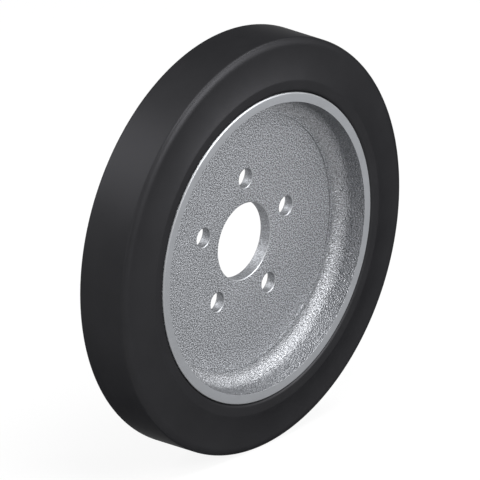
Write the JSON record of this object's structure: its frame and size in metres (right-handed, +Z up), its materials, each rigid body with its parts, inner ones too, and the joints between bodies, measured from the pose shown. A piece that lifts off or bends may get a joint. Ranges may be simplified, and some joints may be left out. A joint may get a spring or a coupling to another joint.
{
  "type": "drive wheel",
  "caption": "Industrial drive wheel: a plain solid rubber tyre bonded to a dished cast centre with a machined rim face, a centre hole and a ring of bolt holes.",
  "frame": {"origin": "centre of the wheel: on its axis, midway between the two rim faces", "axes": "+Y along the axis it turns about, from the face the picture shows, where the hub sits, to the far side; +Z up"},
  "size_m": [0.36, 0.06, 0.36],
  "materials": {
    "rubber": "moulded, satin black",
    "cast_metal": "silver, rough as cast, machined rim faces"
  },
  "bodies": {
    "root": {"tyre": "rubber", "wheel_centre": "cast_metal"}
  },
  "joints": []
}
